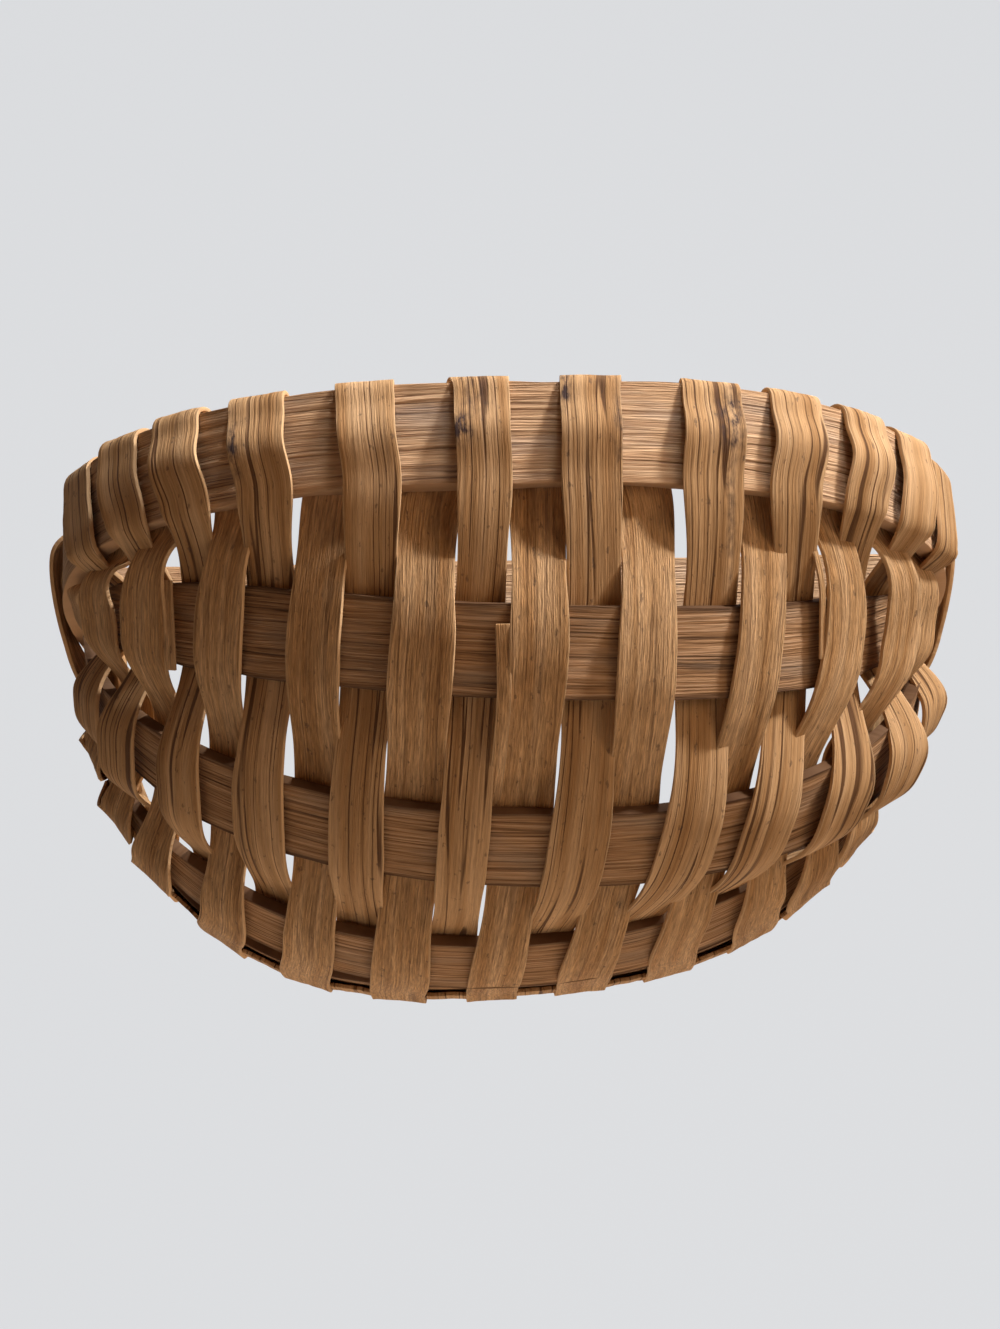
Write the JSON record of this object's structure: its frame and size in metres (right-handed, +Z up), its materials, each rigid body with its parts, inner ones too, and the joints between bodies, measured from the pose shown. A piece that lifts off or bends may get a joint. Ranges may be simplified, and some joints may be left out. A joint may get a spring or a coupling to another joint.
{
  "type": "hanging wall basket",
  "caption": "Half-round hanging wall basket of split oak, with a wide rim, three bent ribs, an open back and upright woven splints.",
  "frame": {"origin": "middle of the back rail's wall face", "axes": "+X to the right seen from the front, +Y into the wall, +Z up"},
  "size_m": [0.1698, 0.0905, 0.0897],
  "materials": {
    "rim_oak": "rough split oak, weathered brown, unfinished",
    "rib_oak": "rough split oak, torn grain, unfinished",
    "splint_oak": "thin split oak with growth-ring streaks and loose fibres, unfinished"
  },
  "bodies": {
    "root": {"rim_bow": "rim_oak", "back_rail": "rim_oak", "back_hoop": "rib_oak", "upper_rib": "rib_oak", "middle_rib": "rib_oak", "lower_rib": "rib_oak", "middle_weaver": "splint_oak", "left_weaver_1": "splint_oak", "left_weaver_2": "splint_oak", "left_weaver_3": "splint_oak", "left_weaver_4": "splint_oak", "left_weaver_5": "splint_oak", "left_weaver_6": "splint_oak", "right_weaver_1": "splint_oak", "right_weaver_2": "splint_oak", "right_weaver_3": "splint_oak", "right_weaver_4": "splint_oak", "right_weaver_5": "splint_oak", "right_weaver_6": "splint_oak", "left_ear_lashing": "splint_oak", "right_ear_lashing": "splint_oak"}
  },
  "joints": []
}
